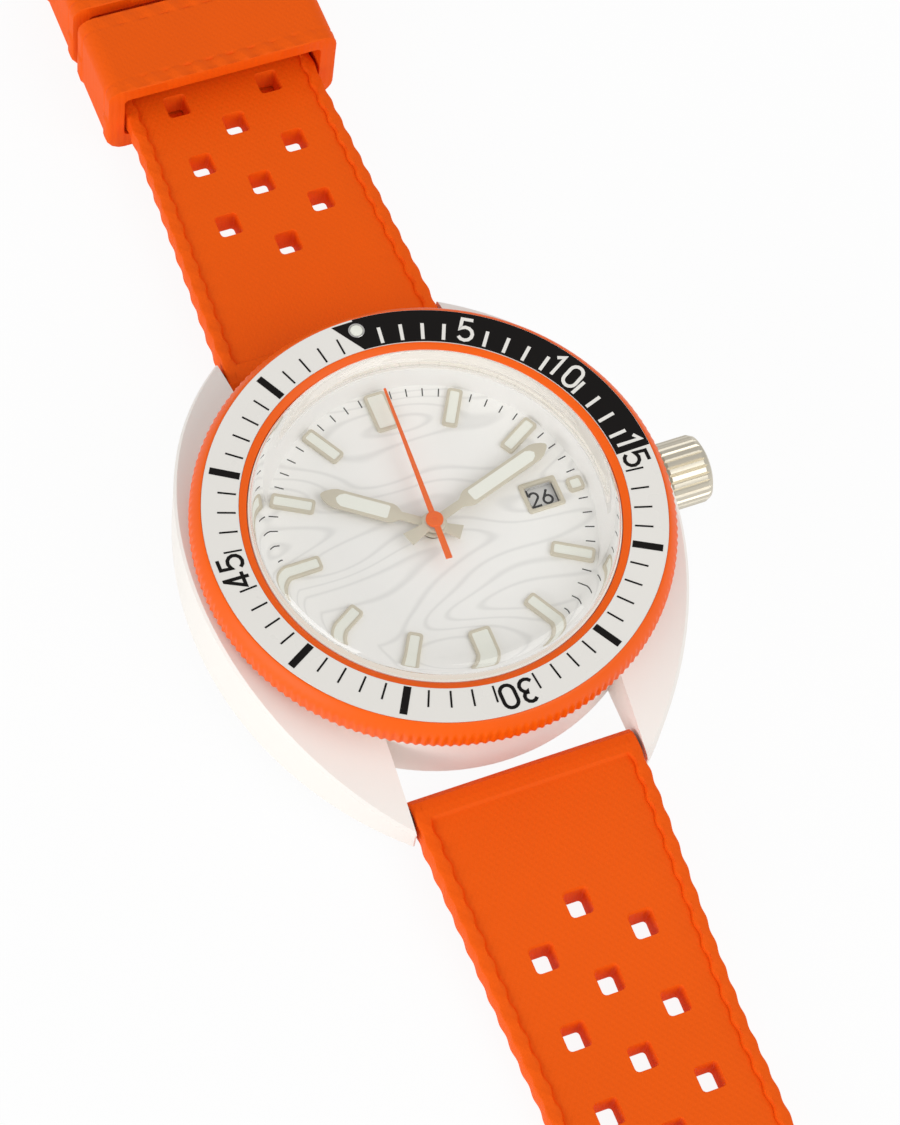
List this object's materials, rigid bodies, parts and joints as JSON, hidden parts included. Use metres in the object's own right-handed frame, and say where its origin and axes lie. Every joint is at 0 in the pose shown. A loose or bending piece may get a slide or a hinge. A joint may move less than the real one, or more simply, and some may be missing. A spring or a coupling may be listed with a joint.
{
  "type": "dive watch",
  "caption": "Wrist watch with a turning timing bezel, domed crystal, date dial, pull-out crown and a perforated rubber strap with sliding keepers and a pin buckle.",
  "frame": {"origin": "dial axis, in the plane of the outer face of the case back, on which the watch rests", "axes": "+X to the crown at 3 o'clock, +Y to 12 o'clock along the short strap, +Z out of the dial"},
  "size_m": [0.0454, 0.2502, 0.0128],
  "materials": {
    "case_white": "matte coating",
    "bezel_orange": "satin anodised",
    "insert_print": "satin printed",
    "crystal": "polished",
    "steel": "brushed",
    "crown_steel": "brushed, warm tint",
    "strap_orange": "matte moulded",
    "seal_rubber": "matte",
    "nylon": "matte",
    "dial_white": "pearl lacquer",
    "flange_white": "matte",
    "marker_cream": "satin",
    "lume": "grainy luminous paint",
    "hand_cream": "satin",
    "hand_orange": "satin",
    "date_grey": "printed",
    "brass": "turned",
    "plate_nickel": "nickel plated",
    "plastic_dark": "moulded",
    "plastic_white": "moulded",
    "board_green": "printed board",
    "copper": "wound wire",
    "cell_steel": "satin"
  },
  "bodies": {
    "root": {"case_middle": "case_white", "case_back": "steel", "case_back_gasket": "seal_rubber", "crystal": "crystal", "crystal_gasket": "nylon", "flange": "flange_white", "bezel_click_spring": "steel", "bezel_snap_wire": "steel", "dial_plate": "dial_white", "hour_markers": "marker_cream", "marker_lume": "lume", "date_window_frame": "marker_cream", "main_plate": "plate_nickel", "train_bridge": "plate_nickel", "date_plate": "plastic_white", "movement_screws": "steel", "movement_holder": "plastic_white", "stator": "plate_nickel", "coil": "copper", "circuit_board": "board_green", "quartz_can": "cell_steel", "battery": "cell_steel", "battery_clamp": "steel", "crown_tube": "steel", "spring_bar_12": "steel", "spring_bar_6": "steel"},
    "bezel": {"bezel_ring": "bezel_orange", "bezel_insert": "insert_print", "bezel_pip": "lume"},
    "minute": {"cannon_pinion": "brass", "minute_hand": "hand_cream"},
    "hour": {"hour_wheel": "brass", "hour_hand": "hand_cream"},
    "minute_wheel": {"minute_wheel": "brass"},
    "setting_wheel": {"setting_wheel": "brass"},
    "date_wheel": {"date_wheel": "brass"},
    "date_disc": {"date_disc": "date_grey"},
    "seconds": {"seconds_wheel": "brass", "seconds_hand": "hand_orange"},
    "fifth_wheel": {"fifth_wheel": "brass"},
    "rotor": {"rotor": "plastic_dark"},
    "third_wheel": {"third_wheel": "brass"},
    "centre_wheel": {"centre_wheel": "brass"},
    "sliding_pinion": {"sliding_pinion": "steel"},
    "crown": {"crown": "crown_steel", "winding_stem": "steel", "crown_gasket": "seal_rubber"},
    "setting_lever": {"setting_lever": "steel"},
    "strap_short": {"strap_short": "strap_orange"},
    "strap_long": {"strap_long": "strap_orange"},
    "keeper_front": {"keeper_front": "strap_orange"},
    "keeper_rear": {"keeper_rear": "strap_orange"},
    "buckle": {"buckle_frame": "steel", "buckle_bar": "steel"},
    "buckle_tongue": {"buckle_tongue": "steel"},
    "spring_tip_12_crown_side": {"spring_tip_12_crown_side": "steel"},
    "spring_tip_12_far_side": {"spring_tip_12_far_side": "steel"},
    "spring_tip_6_crown_side": {"spring_tip_6_crown_side": "steel"},
    "spring_tip_6_far_side": {"spring_tip_6_far_side": "steel"}
  },
  "joints": [
    {"name": "bezel_turn", "type": "hinge", "parent": "root", "child": "bezel", "pos_m": [0, 0, 0.01], "axis": [0, 0, 1], "continuous": true},
    {"name": "minute_turn", "type": "hinge", "parent": "root", "child": "minute", "pos_m": [0, 0, 0.006], "axis": [0, 0, 1], "continuous": true},
    {"name": "hour_turn", "type": "hinge", "parent": "root", "child": "hour", "pos_m": [0, 0, 0.006], "axis": [0, 0, 1], "continuous": true},
    {"name": "minute_wheel_turn", "type": "hinge", "parent": "root", "child": "minute_wheel", "pos_m": [0.0015, -0.0026, 0.0063], "axis": [0, 0, 1], "continuous": true},
    {"name": "setting_wheel_turn", "type": "hinge", "parent": "root", "child": "setting_wheel", "pos_m": [0.00467, -0.00112, 0.0063], "axis": [0, 0, 1], "continuous": true},
    {"name": "date_wheel_turn", "type": "hinge", "parent": "root", "child": "date_wheel", "pos_m": [-0.00552, 0.00463, 0.0065], "axis": [0, 0, 1], "continuous": true},
    {"name": "date_turn", "type": "hinge", "parent": "root", "child": "date_disc", "pos_m": [0, 0, 0.0068], "axis": [0, 0, 1], "continuous": true},
    {"name": "seconds_turn", "type": "hinge", "parent": "root", "child": "seconds", "pos_m": [0, 0, 0.004], "axis": [0, 0, 1], "continuous": true},
    {"name": "fifth_wheel_turn", "type": "hinge", "parent": "root", "child": "fifth_wheel", "pos_m": [0.00144, 0.00249, 0.004], "axis": [0, 0, 1], "continuous": true},
    {"name": "rotor_turn", "type": "hinge", "parent": "root", "child": "rotor", "pos_m": [0.00256, 0.00443, 0.004], "axis": [0, 0, 1], "continuous": true},
    {"name": "third_wheel_turn", "type": "hinge", "parent": "root", "child": "third_wheel", "pos_m": [-0.00272, 0, 0.0043], "axis": [0, 0, 1], "continuous": true},
    {"name": "centre_wheel_turn", "type": "hinge", "parent": "root", "child": "centre_wheel", "pos_m": [0, 0, 0.0047], "axis": [0, 0, 1], "continuous": true},
    {"name": "crown_turn", "type": "hinge", "parent": "root", "child": "sliding_pinion", "pos_m": [0.006, 0, 0.0046], "axis": [1, 0, 0], "continuous": true},
    {"name": "crown_pull", "type": "slide", "parent": "sliding_pinion", "child": "crown", "axis": [1, 0, 0], "range_m": [0, 0.002]},
    {"name": "lever_swing", "type": "hinge", "parent": "root", "child": "setting_lever", "pos_m": [0.0086, 0.003, 0.0054], "axis": [0, 0, 1], "range_deg": [0, 42]},
    {"name": "strap_short_swing", "type": "hinge", "parent": "root", "child": "strap_short", "pos_m": [0, 0.0213, 0.0029], "axis": [1, 0, 0], "range_deg": [-85, 60]},
    {"name": "strap_long_swing", "type": "hinge", "parent": "root", "child": "strap_long", "pos_m": [0, -0.0213, 0.0029], "axis": [-1, 0, 0], "range_deg": [-85, 60]},
    {"name": "keeper_front_slide", "type": "slide", "parent": "strap_short", "child": "keeper_front", "axis": [0, 1, 0], "range_m": [-0.004, 0.0005]},
    {"name": "keeper_rear_slide", "type": "slide", "parent": "strap_short", "child": "keeper_rear", "axis": [0, 1, 0], "range_m": [-0.0005, 0.024]},
    {"name": "buckle_swing", "type": "hinge", "parent": "strap_short", "child": "buckle", "pos_m": [0, 0.0963, 0.0031], "axis": [1, 0, 0], "range_deg": [-75, 60]},
    {"name": "tongue_swing", "type": "hinge", "parent": "buckle", "child": "buckle_tongue", "pos_m": [0, 0.0963, 0.0031], "axis": [1, 0, 0], "range_deg": [0, 65]},
    {"name": "tip_12_crown_side_press", "type": "slide", "parent": "root", "child": "spring_tip_12_crown_side", "axis": [-1, 0, 0], "range_m": [0, 0.0013], "stiffness_N_per_m": 300, "springref_m": -0.002},
    {"name": "tip_12_far_side_press", "type": "slide", "parent": "root", "child": "spring_tip_12_far_side", "axis": [1, 0, 0], "range_m": [0, 0.0013], "stiffness_N_per_m": 300, "springref_m": -0.002},
    {"name": "tip_6_crown_side_press", "type": "slide", "parent": "root", "child": "spring_tip_6_crown_side", "axis": [-1, 0, 0], "range_m": [0, 0.0013], "stiffness_N_per_m": 300, "springref_m": -0.002},
    {"name": "tip_6_far_side_press", "type": "slide", "parent": "root", "child": "spring_tip_6_far_side", "axis": [1, 0, 0], "range_m": [0, 0.0013], "stiffness_N_per_m": 300, "springref_m": -0.002}
  ],
  "couplings": [
    {"joint": "hour_turn", "follows": "minute_turn", "ratio": 0.083333},
    {"joint": "minute_wheel_turn", "follows": "minute_turn", "ratio": -0.33333},
    {"joint": "setting_wheel_turn", "follows": "minute_turn", "ratio": 0.6},
    {"joint": "date_wheel_turn", "follows": "minute_turn", "ratio": -0.041667},
    {"joint": "fifth_wheel_turn", "follows": "seconds_turn", "ratio": -5},
    {"joint": "rotor_turn", "follows": "seconds_turn", "ratio": 30},
    {"joint": "third_wheel_turn", "follows": "seconds_turn", "ratio": -0.13333},
    {"joint": "centre_wheel_turn", "follows": "seconds_turn", "ratio": 0.016667},
    {"joint": "lever_swing", "follows": "crown_pull", "rad_per_m": 364.87}
  ]
}
